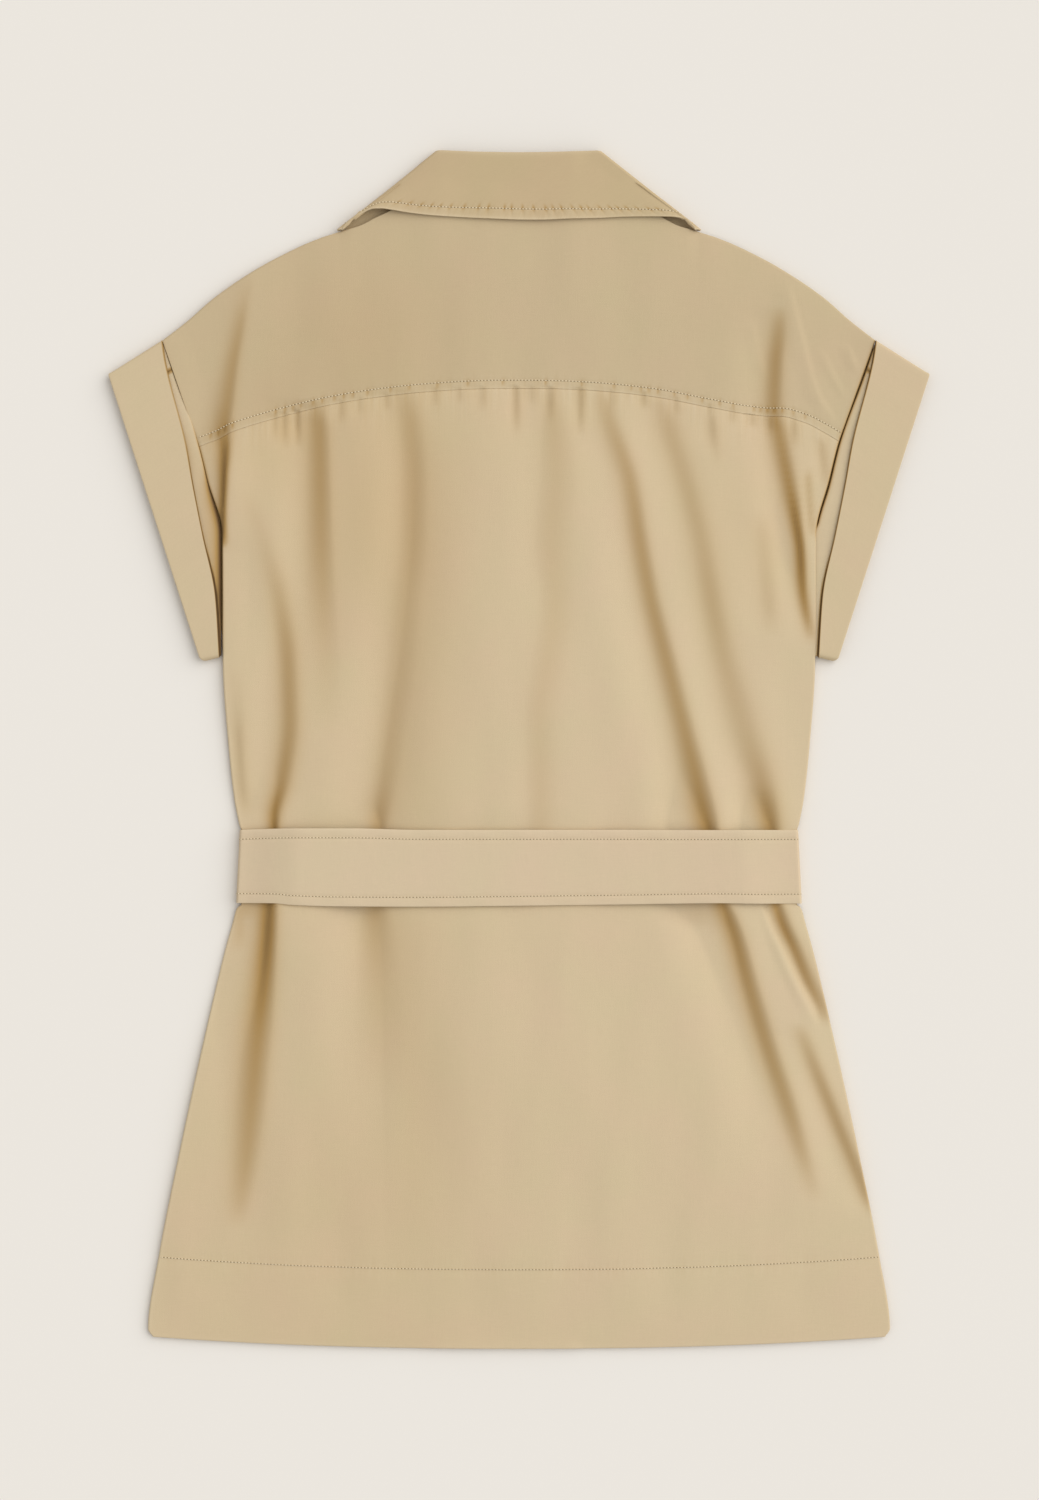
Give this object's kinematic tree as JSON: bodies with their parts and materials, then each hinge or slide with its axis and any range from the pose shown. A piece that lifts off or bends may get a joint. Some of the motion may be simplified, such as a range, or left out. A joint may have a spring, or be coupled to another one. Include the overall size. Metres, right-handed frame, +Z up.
{
  "type": "belted trench coat with short turned-up sleeves, laid flat",
  "caption": "Beige belted trench coat laid out flat on its front, back uppermost, with a turned-down collar, curved yoke, turned-up short sleeves and a flared skirt.",
  "frame": {"origin": "centre of the coat's outline, on the surface that it lies on", "axes": "+Y from the hem to the collar, +X to the wearer's right, +Z up out of the back"},
  "size_m": [0.616, 0.8979, 0.0139],
  "materials": {
    "coat_cloth": "matt closely woven beige cotton with topstitched seams",
    "belt_cloth": "the same beige cotton, doubled and topstitched along both edges"
  },
  "bodies": {
    "root": {"back_panel": "coat_cloth", "back_yoke": "coat_cloth", "front_right": "coat_cloth", "front_left": "coat_cloth", "collar_fall": "coat_cloth", "collar_stand": "coat_cloth", "sleeve_right": "coat_cloth", "sleeve_left": "coat_cloth", "cuff_right": "coat_cloth", "cuff_left": "coat_cloth", "belt": "belt_cloth"}
  },
  "joints": []
}
